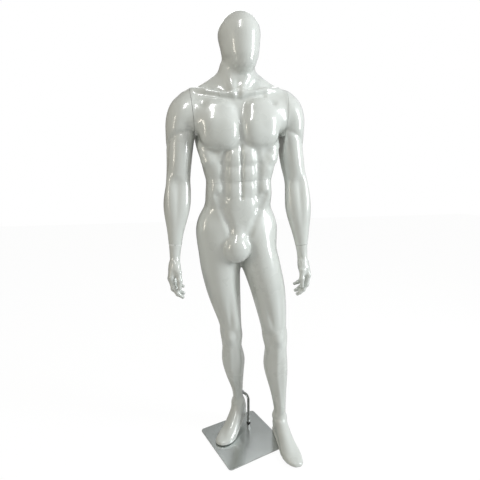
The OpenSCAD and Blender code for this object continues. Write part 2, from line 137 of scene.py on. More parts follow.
def pad(p, centre, radii, angles=(0, 0, 0), power=2.6):
    """Distance to a fuller, squarer ellipsoid."""
    q = (p - np.array(centre, float)) @ turn(*angles)
    ratio = (np.abs(q / np.array(radii, float)) ** power).sum(1) ** (1 / power)
    reach = np.linalg.norm(q, axis=1)
    return np.where(ratio > 1e-3, (1 - 1 / np.maximum(ratio, 1e-3)) * reach, -min(radii))


def fade(value, low, high):
    """Smooth step from 0 at low to 1 at high."""
    t = np.clip((value - low) / (high - low), 0, 1)
    return t * t * (3 - 2 * t)


def oval(dx, dy, a, b, power):
    """Distance to an oval with half axes a and b, in its own plane."""
    ratio = ((np.abs(dx) / a) ** power + (np.abs(dy) / b) ** power) ** (1 / power)
    reach = np.hypot(dx, dy)
    return np.where(ratio > 1e-3, (1 - 1 / np.maximum(ratio, 1e-3)) * reach, -np.minimum(a, b))


class Relief:
    """Muscles raised on a limb, and hollows sunk in it.

    Each is a list of rows [along the limb, angle, width, height]. Angles are in degrees round the limb:
    0 in front, 90 on the outside, 180 behind. Heights are in millimetres.
    """

    def __init__(self, muscles):
        self.muscles = [spline_rows(rows, 6) for rows in muscles]

    def __call__(self, along, angle):
        total = np.zeros(len(along))
        for rows in self.muscles:
            here = np.nonzero((along > rows[0, 0]) & (along < rows[-1, 0]))[0]
            centre, width, height = (np.interp(along[here], rows[:, 0], rows[:, i]) for i in (1, 2, 3))
            off = (angle[here] - centre + 180) % 360 - 180
            total[here] += height * np.exp(-(off / width) ** 2)
        return total


class Line:
    """An upright limb or trunk through level ovals [height, x, y, half width, half depth]."""

    def __init__(self, stations, power=2.0, out=1, face=((0, 0), (1, 0)), muscles=()):
        self.rows = spline_rows(stations)
        self.power = power
        self.out = out
        self.face = np.array(face, float)
        self.relief = Relief(muscles)

    def __call__(self, p, end_round=12.0):
        s = self.rows
        along = p[:, 2]
        x, y, a, b = (np.interp(along, s[:, 0], s[:, i]) for i in (1, 2, 3, 4))
        dx, dy = p[:, 0] - x, p[:, 1] - y
        side = oval(dx, dy, a, b, self.power)
        if self.relief.muscles:
            angle = np.degrees(np.arctan2(self.out * dx / a, -dy / b))
            side = side - self.relief(along, angle - np.interp(along, self.face[:, 0], self.face[:, 1]))
        return keep(side, np.maximum(s[0, 0] - along, along - s[-1, 0]), end_round)


class Tube:
    """A bent limb through oval rings [x, y, z, turn x, turn y, half width, half depth]."""

    def __init__(self, stations, power, out, muscles):
        self.steps = 7
        rows = spline_rows(stations, self.steps)
        self.centre = rows[:, :3]
        self.turned = [turn(r[3], r[4]) for r in rows]
        self.half = rows[:, 5:7]
        self.number = np.arange(len(rows)) / self.steps
        self.power = power
        self.out = out
        self.relief = Relief(muscles)

    def side(self, x, y, half, along):
        d = oval(x, y, half[:, 0], half[:, 1], self.power)
        angle = np.degrees(np.arctan2(self.out * x / half[:, 0], -y / half[:, 1]))
        return d - self.relief(along, angle)

    def __call__(self, p):
        best = np.full(len(p), 1e4)
        before = (p - self.centre[0]) @ self.turned[0]
        for k in range(1, len(self.centre)):
            after = (p - self.centre[k]) @ self.turned[k]
            hit = np.nonzero((before[:, 2] >= 0) & (after[:, 2] < 0))[0]
            if len(hit):
                t = before[hit, 2] / (before[hit, 2] - after[hit, 2])
                x, y = ((1 - t) * before[hit, i] + t * after[hit, i] for i in (0, 1))
                half = (1 - t)[:, None] * self.half[k - 1] + t[:, None] * self.half[k]
                along = self.number[k - 1] + t / self.steps
                best[hit] = np.minimum(best[hit], self.side(x, y, half, along))
            before = after
        missed = np.nonzero(best > 9e3)[0]
        for end, sign in ((0, -1), (-1, 1)):
            q = (p[missed] - self.centre[end]) @ self.turned[end]
            half = np.repeat(self.half[end][None], len(missed), 0)
            side = self.side(q[:, 0], q[:, 1], half, np.full(len(missed), self.number[end]))
            past = np.maximum(sign * q[:, 2], 0)
            capped = np.hypot(np.maximum(side, 0), past) + np.minimum(side, 0) * (past == 0)
            best[missed] = np.minimum(best[missed], capped)
        return best


def furrow(field, marks, k):
    """A furrow cut along the front of a field through marks [x, z, radius, depth]."""
    depth_line = np.arange(-160.0, 60.0, 1.0)
    points = []
    for x, z, radius, depth in marks:
        line = np.stack([np.full(len(depth_line), x), depth_line, np.full(len(depth_line), z)], 1)
        skin = depth_line[np.argmax(field(line) < 0)]
        points.append((x, skin - radius + depth, z))
    radii = [m[2] for m in marks]
    return lambda p: chain(p, points, radii, k)


def seam(plane, outward, gap=SEAM_GAP):
    """A cut (point, normal) that leaves half the seam's gap; the normal points out of the shell."""
    at, axis = plane
    normal = axis if axis @ np.array(outward, float) > 0 else -axis
    return at - normal * gap / 2, normal


def short_of(p, d, cut):
    """The field d ended a little past a cut, so that the mesh can be trimmed there cleanly."""
    at, normal = cut
    return keep(d, (p - at) @ normal - OVERRUN, 3.0)


TORSO_CUTS = [seam(WAIST, (0, 0, -1), WAIST_GAP),
              seam(RIGHT_SHOULDER, (-1, 0, 0)),
              seam(LEFT_SHOULDER, (1, 0, 0))]
LOWER_CUTS = [seam(WAIST, (0, 0, 1), WAIST_GAP)]
RIGHT_ARM_CUTS = [seam(RIGHT_SHOULDER, (1, 0, 0)), seam(RIGHT_WRIST, (0, 0, -1))]
LEFT_ARM_CUTS = [seam(LEFT_SHOULDER, (-1, 0, 0)), seam(LEFT_WRIST, (0, 0, -1))]
RIGHT_HAND_CUTS = [seam(RIGHT_WRIST, (0, 0, 1))]
LEFT_HAND_CUTS = [seam(LEFT_WRIST, (0, 0, 1))]


# ---- Meshing ---------------------------------------------------------------------------------

BLOCK = 8


def sample(field, low, high, step):
    """Field values on a grid, worked out finely only in the blocks that the surface may cross."""
    count = np.ceil((np.array(high) - low) / step / BLOCK).astype(int)
    size = step * BLOCK
    centres = np.stack(np.meshgrid(*[np.arange(n) for n in count], indexing="ij"), -1).reshape(-1, 3)
    middle = low + (centres + 0.5) * size
    coarse = np.concatenate([field(m) for m in np.array_split(middle, max(1, len(middle) // 60000))])
    values = np.repeat(coarse[:, None], BLOCK ** 3, 1).astype(np.float32)
    near = np.nonzero(np.abs(coarse) < size * 1.25)[0]
    inside = np.stack(np.meshgrid(*[np.arange(BLOCK)] * 3, indexing="ij"), -1).reshape(-1, 3)
    for part in np.array_split(near, max(1, len(near) // 250)):
        points = low + (centres[part][:, None] * BLOCK + inside[None]) * step
        values[part] = field(points.reshape(-1, 3)).reshape(len(part), -1)
    grid = values.reshape(*count, BLOCK, BLOCK, BLOCK).transpose(0, 3, 1, 4, 2, 5)
    return grid.reshape(count * BLOCK)


def net(values, low, step):
    """Quads of the surface where the grid changes sign: points and faces."""
    inside = values < 0
    corners = [inside[i:i - 1 or None, j:j - 1 or None, k:k - 1 or None]
               for i in (0, 1) for j in (0, 1) for k in (0, 1)]
    total = np.zeros(corners[0].shape, np.int8)
    for c in corners:
        total += c
    active = (total > 0) & (total < 8)
    cells = np.argwhere(active)
    index = np.full(active.shape, -1, np.int64)
    index[active] = np.arange(len(cells))
    faces = []
    for axis in range(3):
        others = [a for a in range(3) if a != axis]
        first = np.take(inside, range(inside.shape[axis] - 1), axis)
        second = np.take(inside, range(1, inside.shape[axis]), axis)
        for flip, cross in ((False, first & ~second), (True, ~first & second)):
            at = np.argwhere(cross)
            at = at[(at[:, others[0]] > 0) & (at[:, others[1]] > 0)]
            for other in others:
                at = at[at[:, other] < index.shape[other]]
            quad = []
            for du, dv in ((1, 1), (0, 1), (0, 0), (1, 0)):
                cell = at.copy()
                cell[:, others[0]] -= du
                cell[:, others[1]] -= dv
                quad.append(index[cell[:, 0], cell[:, 1], cell[:, 2]])
            quad = np.stack(quad, 1)
            faces.append(quad[:, ::-1] if flip != (axis == 1) else quad)
    return low + (cells + 0.5) * step, np.concatenate(faces)


def slope(field, p, reach=0.35):
    """Field value and gradient at points, from four samples at the corners of a small tetrahedron."""
    corners = np.array([(1, -1, -1), (-1, -1, 1), (-1, 1, -1), (1, 1, 1)], float)
    values = [field(p + corner * reach) for corner in corners]
    grad = sum(v[:, None] * corner for v, corner in zip(values, corners)) / (4 * reach)
    return sum(values) / 4, grad


def settle(field, points, faces, step, rounds=3):
    """Evens out the points and brings them onto the field's true surface."""
    pairs = np.concatenate([faces[:, [0, 1]], faces[:, [1, 2]], faces[:, [2, 3]], faces[:, [3, 0]]])
    ends = np.concatenate([pairs[:, 0], pairs[:, 1]])
    other = np.concatenate([pairs[:, 1], pairs[:, 0]])
    degree = np.maximum(np.bincount(ends, minlength=len(points)), 1)[:, None]
    for _ in range(rounds):
        mean = np.stack([np.bincount(ends, points[other, i], len(points)) for i in range(3)], 1) / degree
        points = points + 0.6 * (mean - points)
        value, grad = slope(field, points)
        length2 = np.maximum((grad ** 2).sum(1), 0.05)
        push = np.clip(value / length2, -step, step)[:, None] * grad
        points = points - push
    value, grad = slope(field, points)
    return points - np.clip(value, -step, step)[:, None] * grad


def trim(mesh, cuts):
    """Cuts a mesh flat at its seams and closes each cut with a flat face and a crisp edge."""
    work = bmesh.new()
    work.from_mesh(mesh)
    for at, normal in cuts:
        everything = work.verts[:] + work.edges[:] + work.faces[:]
        cut = bmesh.ops.bisect_plane(work, geom=everything, dist=1e-6, plane_co=at * MM, plane_no=normal,
                                     clear_outer=True)
        rim = [e for e in cut["geom_cut"] if isinstance(e, bmesh.types.BMEdge) and e.is_boundary]
        bmesh.ops.edgenet_fill(work, edges=rim)
        for edge in rim:
            edge.smooth = False
    for face in work.faces:
        face.smooth = len(face.verts) < 12
    bmesh.ops.recalc_face_normals(work, faces=work.faces)
    work.to_mesh(mesh)
    work.free()


def sculpt(name, field, cuts, low, high, step, body, material, cad):
    """Meshes a field and puts it in the scene as the piece that stands for a CAD shell."""
    def ended(p):
        d = field(p)
        for cut in cuts:
            d = short_of(p, d, cut)
        return d

    low, high = np.array(low, float), np.array(high, float)
    points, faces = net(sample(ended, low, high, step), low, step)
    points = settle(ended, points, faces, step)
    mesh = bpy.data.meshes.new(name)
    mesh.vertices.add(len(points))
    mesh.vertices.foreach_set("co", (points * MM).astype(np.float32).ravel())
    mesh.loops.add(faces.size)
    mesh.loops.foreach_set("vertex_index", faces.astype(np.int32).ravel())
    mesh.polygons.add(len(faces))
    mesh.polygons.foreach_set("loop_start", np.arange(0, faces.size, 4, dtype=np.int32))
    mesh.update(calc_edges=True)
    mesh.validate()
    trim(mesh, cuts)
    piece = bpy.data.objects.new(name, mesh)
    bpy.context.scene.collection.objects.link(piece)
    mesh.materials.append(material)
    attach(piece, body)
    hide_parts(cad)
    return piece


# ---- Middle of the figure, shared by the two shells that meet at the waist ---------------------

MIDLINE = -6.0
BELLY = Line([
    [900, -8, 48, 140, 86], [960, -12, 52, 164, 102], [1010, -13, 50, 166, 104], [1060, -12, 48, 154, 99],
    [1140, -6, 44, 140, 91], [1211, -5, 44, 137, 90], [1290, -6, 46, 155, 97], [1370, -5, 49, 174, 102],
    [1450, -3, 52, 182, 102], [1530, 0, 55, 168, 87], [1570, 2, 56, 150, 72], [1604, 0, 56, 116, 60],
    [1634, -4, 54, 82, 58], [1665, -5, 48, 60, 58]], power=2.35)
# rows of the straight belly muscle: height of the middle, front of the pad, half height
BELLY_ROWS = [(1303, -65, 34), (1238, -61, 32), (1174, -57, 32)]


def middle_mass(p):
    d = BELLY(p, 20)
    d = join(d, pad(p, (MIDLINE, -16, 1225), (66, 38, 150), (2, 0, 0)), 26)
    d = join(d, pad(p, (MIDLINE - 1, -14, 1080), (60, 42, 90), (6, 0, 0)), 26)
    for s in (-1, 1):
        for z, front, tall in BELLY_ROWS:
            place = (MIDLINE + s * 33, front + 26, z + s * 2)
            d = join(d, pad(p, place, (32, 25, tall), (3, 0, s * 7), 2.5), 15)
        # side muscle of the waist, above and below the seam
        d = join(d, pad(p, (MIDLINE + s * 100, 16, 1266), (42, 60, 60), (0, s * 8, s * 16), 2.2), 28)
        d = join(d, pad(p, (MIDLINE + s * 94, 21, 1172), (38, 64, 62), (6, s * -6, s * 12), 2.2), 32)
        # long muscles beside the spine
        cord = [(MIDLINE + s * 32, 112, 1060), (MIDLINE + s * 34, 112, 1200),
                (MIDLINE + s * 38, 122, 1330), (MIDLINE + s * 40, 128, 1430)]
        d = join(d, chain(p, cord, [28, 29, 31, 29], 4), 20)
    spine = [(-6, 152, 1060), (-5, 153, 1200), (-4, 156, 1320), (-3, 162, 1440), (-3, 152, 1560)]
    return carve(d, chain(p, spine, [10, 12, 13, 13, 8], 2), 20)


# middle furrow of the belly, the edges of the straight muscle, the folds from hip bone to groin, the navel
BELLY_FURROWS = [
    (furrow(middle_mass, marks, k), edge) for marks, k, edge in (
        ([(-6, 1146, 4, 2.5), (-6, 1210, 5, 4.5), (-6, 1280, 6, 5), (-7, 1350, 6, 5)], 6, 9),
        ([(-74, 1150, 7, 0), (-74, 1215, 7, 1), (-76, 1280, 7, 1), (-70, 1325, 7, 0)], 6, 24),
        ([(62, 1150, 7, 0), (62, 1215, 7, 1), (64, 1280, 7, 1), (58, 1328, 7, 0)], 6, 24),
        ([(-106, 1150, 8, 3), (-84, 1100, 8, 5), (-64, 1040, 8, 4), (-50, 985, 7, 3)], 8, 24),
        ([(94, 1150, 8, 3), (72, 1100, 8, 5), (50, 1040, 8, 4), (30, 985, 7, 3)], 8, 24),
        ([(-6, 1146, 6, 6), (-6, 1140, 6, 5)], 3, 6))
]


def middle(p):
    d = middle_mass(p)
    for cut, edge in BELLY_FURROWS:
        d = carve(d, cut(p), edge)
    return d


# ---- Arms, which share their shoulders with the torso ------------------------------------------

ARM_MUSCLES = [
    # biceps, triceps outside and inside, furrows between them
    [[4.05, -5, 30, 0], [4.6, -4, 34, 4], [5.2, -4, 36, 7], [5.8, -6, 32, 4], [6.3, -8, 30, 0]],
    [[4.1, 152, 26, 0], [4.8, 142, 30, 3], [5.6, 130, 34, 6], [6.2, 126, 30, 3], [6.7, 124, 28, 0]],
    [[4.2, -150, 26, 0], [5.0, -146, 30, 4], [5.8, -142, 32, 5], [6.5, -140, 28, 0]],
    [[4.2, 74, 12, 0], [4.9, 72, 13, -4], [5.6, 68, 13, -5], [6.0, 66, 12, 0]],
    [[4.2, -80, 12, 0], [4.9, -80, 13, -4], [5.8, -76, 13, -4], [6.4, -70, 12, 0]],
    # the three heads of the shoulder muscle and the crease under them
    [[5.5, 86, 22, 0], [6.1, 88, 32, 4], [6.8, 90, 38, 7], [7.8, 90, 40, 6], [9.0, 90, 42, 2],
     [10, 90, 42, 0]],
    [[6.0, 42, 22, 0], [6.6, 30, 26, 4], [7.5, 18, 28, 5], [8.6, 10, 26, 3], [9.6, 8, 24, 0]],
    [[6.0, 136, 22, 0], [6.6, 150, 26, 4], [7.5, 162, 28, 5], [8.6, 170, 26, 3], [9.6, 172, 24, 0]],
    [[5.5, 86, 13, 0], [5.75, 64, 15, -4], [6.0, 38, 17, -6], [6.3, 8, 17, -5], [6.7, -26, 15, -3],
     [7.2, -50, 14, 0]],
    [[5.5, 92, 13, 0], [5.8, 118, 15, -4], [6.1, 142, 17, -5], [6.6, 170, 16, -3], [7.1, 190, 14, 0]],
    # forearm
    [[2.3, 28, 20, 0], [3.0, 36, 24, 3], [3.5, 44, 26, 6], [4.0, 50, 24, 5], [4.5, 54, 20, 0]],
    [[2.2, 104, 20, 0], [3.0, 110, 26, 3], [3.7, 118, 26, 4], [4.1, 126, 20, 0]],
    [[2.3, -40, 22, 0], [3.1, -52, 30, 3], [3.8, -62, 30, 5], [4.2, -70, 20, 0]],
    [[2.2, -4, 12, 0], [2.8, -2, 13, -2], [3.5, 0, 14, -4], [4.05, 4, 26, -6], [4.4, 4, 20, 0]],
    [[3.8, 178, 15, 0], [4.0, 178, 16, 6], [4.25, 178, 15, 0]],
]
RIGHT_ARM = Tube([
    [-285, -10, 915, -10, 4, 26, 25], [-283, -4, 948, -10, 4, 27, 27], [-280, 6, 1000, -10, 4, 34, 33],
    [-270, 27, 1105, -8, 4, 54, 46], [-262, 40, 1200, 0, 4, 50, 47], [-254, 42, 1290, 0, 4, 52, 54],
    [-246, 43, 1380, 0, 10, 56, 63], [-240, 44, 1436, 0, 32, 64, 71], [-222, 44, 1466, 0, 60, 82, 76],
    [-196, 45, 1478, 0, 85, 90, 78], [-176, 45, 1479, 0, 86, 90, 78], [-110, 46, 1482, 0, 90, 88, 80]],
    2.1, -1, ARM_MUSCLES)
LEFT_ARM = Tube([
    [274, -9, 895, -8, -3, 26, 25], [272, -4, 928, -8, -3, 27, 27], [270, 4, 975, -8, -3, 35, 33],
    [262, 22, 1090, -7, -4, 56, 47], [254, 38, 1201, 0, -7, 48, 47], [240, 42, 1285, 0, -9, 51, 54],
    [228, 46, 1380, 0, -12, 54, 63], [226, 48, 1446, 0, -34, 64, 71], [213, 50, 1478, 0, -62, 82, 76],
    [196, 50, 1490, 0, -87, 90, 78], [178, 50, 1491, 0, -88, 90, 78], [110, 48, 1490, 0, -90, 88, 80]],
    2.1, 1, ARM_MUSCLES)


# ---- Upper torso -------------------------------------------------------------------------------

NECK = Line([
    [1540, -6, 48, 70, 52], [1600, -6, 46, 63, 56], [1640, -5, 42, 59, 57], [1680, -4, 36, 57, 60],
    [1730, -2, 32, 54, 60]])
HEAD = Line([
    [1640, 0, -2, 20, 28], [1662, 1, 6, 50, 62], [1688, 1, 12, 62, 79], [1715, 1, 18, 72, 90],
    [1775, 1, 26, 80, 101], [1800, 1, 30, 80, 101], [1826, 1, 31, 74, 93]], power=2.0)


def head(p):
    """A smooth egg with no features, turned a little to the figure's left."""
    centre = np.array([1, 28, 1780.0])
    q = (p - centre) @ turn(0, 0, 15) + centre
    return join(HEAD(q, 14), ball(q, (1, 31, 1796), (79, 100, 82.5)), 10)


def chest(p, s, lift):
    """One side's breast muscle; s is -1 on the figure's right and 1 on its left."""
    x = MIDLINE - 2
    low_part = pad(p, (x + s * 82, -22, 1412 + lift), (80, 57, 72), (0, s * -6, s * 10))
    high_part = pad(p, (x + s * 96, -12, 1474 + lift), (86, 50, 66), (0, s * 4, s * 10), 2.3)
    to_arm = rod(p, (x + s * 112, -14, 1440 + lift), (x + s * 186, 30, 1468 + lift), 50, 44)
    return join(join(low_part, high_part, 26), to_arm, 24)


def back_half(p, s, lift):
    """One side's shoulder blade, wing muscle and the slope from neck to shoulder."""
    def at(x, y, z):
        return (MIDLINE + s * x, y, z + lift)

    d = pad(p, at(92, 116, 1484), (64, 42, 74), (0, s * -14, s * -12))
    d = join(d, pad(p, at(120, 92, 1392), (56, 52, 116), (0, s * 13, s * -10)), 18)
    d = join(d, chain(p, [at(18, 112, 1604), at(22, 132, 1510), at(16, 128, 1400)], [20, 20, 10], 20), 18)
    ridge = [at(36, 58, 1700), at(64, 62, 1634), at(114, 58, 1596), at(164, 54, 1568), at(204, 50, 1552)]
    return join(d, chain(p, ridge, [13, 29, 29, 29, 28], 4), 34)


def trunk_top(p):
    d = middle(p)
    for s, lift in ((-1, -4), (1, 6)):
        d = join(d, back_half(p, s, lift), 22)
        # ribs with the saw-toothed muscle over them
        for x, y, z in ((148, 0, 1358), (142, -9, 1327), (134, -15, 1298)):
            place = (MIDLINE + s * x, y, z + lift)
            d = join(d, ball(p, place, (21, 25, 13), (0, s * 34, s * -42)), 28)
    d = join(d, join(chest(p, -1, -5), chest(p, 1, 5), 8), 13)
    for s, lift in ((-1, -4), (1, 6)):
        # collar bone, the hollow under its outer end and the one over its inner end
        x = MIDLINE - 10
        bone = [(x + s * 15, -32, 1556), (x + s * 70, -24, 1562 + lift), (x + s * 124, -6, 1572 + lift),
                (x + s * 176, 24, 1576 + lift)]
        d = join(d, chain(p, bone, [11, 10, 11, 13], 2), 22)
        d = carve(d, ball(p, (x + s * 152, -31, 1537 + lift), (24, 17, 36), (0, s * 20, 0)), 22)
        d = carve(d, ball(p, (x + s * 66, -18, 1592 + lift), (34, 14, 14), (0, s * -14, 0)), 30)
    d = carve(d, chain(p, [(-7, -92, 1350), (-9, -90, 1440), (-13, -72, 1530)], [5, 7, 7], 6), 12)
    d = join(d, NECK(p, 20), 30)
    for s in (-1, 1):
        d = join(d, rod(p, (-4 + s * 46, 46, 1680), (-16 + s * 16, -25, 1562), 18, 8), 24)
    d = carve(d, ball(p, (-16, -55, 1562), (12, 14, 15)), 18)
    return join(d, head(p), 14)


ARM_REACH_Z = 1330
ARMPIT_Z = 1398


def with_arms(p, lowest):
    """The trunk joined to the arms, whose share of the skin ends at the height lowest, if that is given."""
    d = trunk_top(p)
    for tube, sign in ((RIGHT_ARM, -1), (LEFT_ARM, 1)):
        near = np.nonzero((sign * p[:, 0] > 60) & (p[:, 2] > ARM_REACH_Z))[0]
        if len(near):
            limb = tube(p[near])
            if lowest is not None:
                limb = keep(limb, lowest - p[near, 2], 6)
            melt = 3 + 24 * fade(p[near, 2], 1390, 1450)
            d[near] = join(d[near], limb, melt)
    return d


def upper_body(p):
    """Torso and arms as one skin, so that the shells cut from it meet at the shoulder seams."""
    return with_arms(p, None)


def torso(p):
    """The torso's share of the skin: the arms count only above the armpits."""
    return with_arms(p, ARMPIT_Z)


def right_arm(p):
    return arm(p, RIGHT_ARM)


def left_arm(p):
    return arm(p, LEFT_ARM)


def arm(p, tube):
    """An arm: the shared skin near the shoulder, the tube alone below it."""
    d = np.empty(len(p))
    high = p[:, 2] > ARM_REACH_Z + 10
    if high.any():
        d[high] = upper_body(p[high])
    if not high.all():
        d[~high] = tube(p[~high])
    return d


# ---- Lower body --------------------------------------------------------------------------------

THIGH_MUSCLES = [
    [[500, 0, 30, 0], [590, 2, 28, 2], [680, 4, 30, 5], [800, 4, 30, 5], [900, 2, 30, 2], [960, 0, 30, 0]],
    [[540, 42, 18, 0], [580, 46, 24, 3], [640, 54, 28, 5], [740, 58, 30, 5], [840, 60, 30, 3],
     [920, 62, 28, 0]],
    [[535, -40, 18, 0], [566, -42, 24, 6], [606, -44, 26, 7], [660, -46, 24, 3], [740, -48, 20, 0]],
    [[560, 22, 10, 0], [620, 26, 10, -3], [720, 30, 11, -3], [840, 32, 12, 0]],
    [[560, -16, 9, 0], [610, -18, 9, -3], [680, -22, 10, -2], [760, -26, 10, 0]],
    [[560, -84, 15, 0], [640, -76, 16, -4], [740, -62, 16, -5], [840, -44, 16, -4], [910, -28, 16, 0]],
    [[520, 104, 14, 0], [600, 100, 16, -4], [720, 98, 18, -4], [840, 96, 18, 0]],
    [[500, 150, 22, 0], [560, 152, 24, 3], [680, 150, 28, 5], [820, 150, 30, 3], [880, 150, 30, 0]],
    [[500, -150, 22, 0], [560, -152, 24, 3], [680, -150, 28, 4], [820, -150, 30, 3], [880, -150, 30, 0]],
    # kneecap, dimples beside it, hollow behind
    [[466, 0, 18, 0], [486, 0, 22, 5], [512, 0, 25, 10], [538, 0, 24, 7], [562, 0, 20, 0]],
    [[450, 78, 22, 0], [485, 80, 26, 4], [525, 78, 28, 5], [565, 74, 22, 0]],
    [[450, -78, 22, 0], [485, -80, 26, 5], [520, -78, 28, 6], [560, -72, 22, 0]],
    [[470, 44, 12, 0], [505, 44, 14, -4], [545, 40, 13, -3], [570, 36, 12, 0]],
    [[470, -44, 12, 0], [505, -44, 14, -4], [540, -38, 13, -3], [562, -34, 12, 0]],
    [[450, 180, 24, 0], [505, 180, 26, -4], [560, 180, 24, 0]],
    # shin bone, the muscle beside it, the two heads of the calf, heel tendon
    [[120, -6, 14, 0], [200, -8, 13, 3], [300, -10, 12, 4], [400, -8, 12, 4], [452, -4, 16, 5],
     [480, 0, 16, 0]],
    [[160, 20, 16, 0], [260, 24, 20, 3], [370, 30, 24, 4], [440, 36, 20, 0]],
    [[270, -128, 20, 0], [320, -130, 28, 3], [380, -132, 32, 6], [440, -138, 28, 3], [490, -146, 22, 0]],
    [[290, 138, 20, 0], [345, 138, 26, 3], [400, 138, 30, 5], [450, 142, 26, 3], [495, 146, 22, 0]],
    [[300, 180, 10, 0], [370, 180, 11, -3], [450, 180, 12, -2], [490, 180, 12, 0]],
    [[100, 180, 26, 0], [150, 180, 24, 5], [210, 180, 26, 4], [290, 180, 30, 0]],
    [[100, 128, 18, 0], [150, 128, 20, -4], [210, 126, 20, -3], [270, 124, 18, 0]],
    [[100, -128, 18, 0], [150, -128, 20, -4], [210, -126, 20, -3], [270, -124, 18, 0]],
]
RIGHT_LEG = Line([
    [104, -2, 104, 25, 31], [165, -4, 98, 25, 30], [215, -10, 90, 28, 34], [300, -24, 74, 42, 45],
    [384, -34, 58, 51, 52], [474, -41, 40, 43, 52], [533, -44, 33, 47, 55], [600, -52, 33, 53, 63],
    [725, -74, 39, 73, 83], [840, -88, 45, 86, 94], [930, -94, 48, 86, 97], [1000, -88, 50, 70, 88],
    [1060, -78, 50, 44, 66]],
    2.1, -1, ((150, 36), (500, 24), (930, 6)), THIGH_MUSCLES)
LEFT_LEG = Line([
    [64, 179, -6, 24, 33], [116, 179, -10, 26, 31], [170, 176, -8, 30, 36], [235, 171, -4, 38, 43],
    [345, 160, -2, 53, 54], [452, 155, -12, 49, 53], [515, 149, -12, 52, 58], [584, 140, -7, 59, 66],
    [726, 118, 6, 75, 85], [840, 92, 20, 84, 94], [930, 80, 32, 77, 97], [1000, 68, 42, 66, 92],
    [1060, 58, 46, 44, 70]],
    2.1, 1, ((60, 4), (500, 0), (930, -4)), THIGH_MUSCLES)

SOLE_Z = 8.5
# distance from the heel, sideways, height of the middle, half width, half height
FOOT = [
    [0, 0, 36, 12, 12], [14, 0, 42, 23, 31], [32, 0, 50, 28, 43], [58, 0, 54, 30, 52], [95, 1, 48, 32, 46],
    [135, 3, 37, 35, 34], [175, 4, 28, 39, 24], [205, 3, 23, 41, 19], [232, 1, 19, 37, 15],
    [254, -2, 16, 27, 11], [268, -4, 14, 13, 7]]
FOOT_LENGTH = 268
FOOT_BALL = 196


def foot_field(p, heel, angle, length, lift, inner):
    """A smooth foot with no toes cut in and a thin lip at the sole.

    inner is the sign of the big toe's side, lift how far the heel is raised.
    """
    q = (p - np.array([heel[0], heel[1], 0.0])) @ turn(0, 0, angle)
    along = -q[:, 1] * FOOT_LENGTH / length
    rise = lift * np.clip(1 - along / FOOT_BALL, 0, 1.2) ** 1.15
    rows = spline_rows(FOOT)
    x, z, a, b = (np.interp(along, rows[:, 0], rows[:, i]) for i in (1, 2, 3, 4))
    height = q[:, 2] - rise
    dx = q[:, 0] - inner * x
    d = keep(oval(dx, height - z, a, b, 2.2), np.maximum(-along, along - FOOT_LENGTH), 5)
    flat = np.stack([q[:, 0], -along, height], 1)
    d = join(d, rod(flat, (inner * 3, -66, 82), (inner * 13, -205, 25), 20, 14), 18)
    lip = keep(oval(dx, np.zeros(len(dx)), a + 1.5, b, 2.0), np.abs(height - SOLE_Z - 3) - 4, 2.5)
    lip = keep(lip, np.maximum(2 - along, along - FOOT_LENGTH - 1.5), 4)
    return keep(join(d, lip, 3), SOLE_Z - height, 3.0)


def ankle_bones(p, ankle, out):
    ankle = np.array(ankle, float)
    out = np.array(out, float)
    outer = ball(p, ankle + out * 21 + np.array([0, 0, -8]), (13, 14, 19))
    inner = ball(p, ankle - out * 20 + np.array([0, 0, 6]), (13, 15, 18))
    return join(outer, inner, 4)


def lower_body(p):
    d = middle(p)
    for s in (-1, 1):
        # buttock and hip
        d = join(d, pad(p, (-6 + s * 78, 94 - s * 5, 938), (78, 69, 82), (10, 0, s * 10), 2.3), 20)
        d = join(d, pad(p, (-13 + s * 114, 36, 982), (61, 68, 108), (0, s * 4, 0), 2.2), 30)
    d = join(d, RIGHT_LEG(p, 16), 26)
    d = join(d, LEFT_LEG(p, 16), 26)
    d = carve(d, chain(p, [(-9, 156, 1040), (-7, 160, 970), (-6, 148, 880)], [6, 12, 14], 2), 22)
    front = ball(p, (-28, -46, 925), (56, 47, 56), (8, 0, 0))
    d = join(d, join(front, rod(p, (-15, -22, 1010), (-25, -36, 948), 36, 42), 20), 10)
    right = foot_field(p, (30, 144), -38, 234, 48, 1)
    left = foot_field(p, (176, 44), 4, 276, 0, -1)
    d = join(d, join(right, ankle_bones(p, (-3, 100, 128), (-0.79, 0.61, 0)), 12), 24)
    d = join(d, join(left, ankle_bones(p, (178, -7, 98), (1, 0, 0)), 12), 24)
    d = keep(d, SOLE_Z - p[:, 2], 2.0)
    return carve(d, socket_mouth(p), 1.0)


def socket_mouth(p):
    """The round hole in the calf that the rod's socket stands in."""
    low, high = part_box("calf_socket")
    joint = next(j for j in frame["joints"] if j["name"] == "calf_lift_off")
    axis = np.array(joint["axis"])
    centre = (np.array(low) + np.array(high)) / 2 / MM
    return rod(p, centre - axis * 70, centre + axis * 24, 9.2, 9.2)


# ---- Hands -----------------------------------------------------------------------------------
# A hand is built hanging from its wrist seam: -Z down the hand, -Y the thumb's side, +X the palm's side.

FINGERS = [
    # knuckle, lengths of the three bones, root and tip radius, curl of each bone in degrees from -Z to +X
    ((-12, -26, -135), (41, 27, 22), 10.5, 7.6, (14, 36, 50)),
    ((-15, -8, -139), (45, 30, 23), 10.8, 7.8, (17, 42, 58)),
    ((-14, 11, -135), (42, 28, 22), 10.2, 7.4, (20, 48, 66)),
    ((-10, 28, -126), (34, 21, 19), 9.0, 6.6, (24, 54, 74)),
]


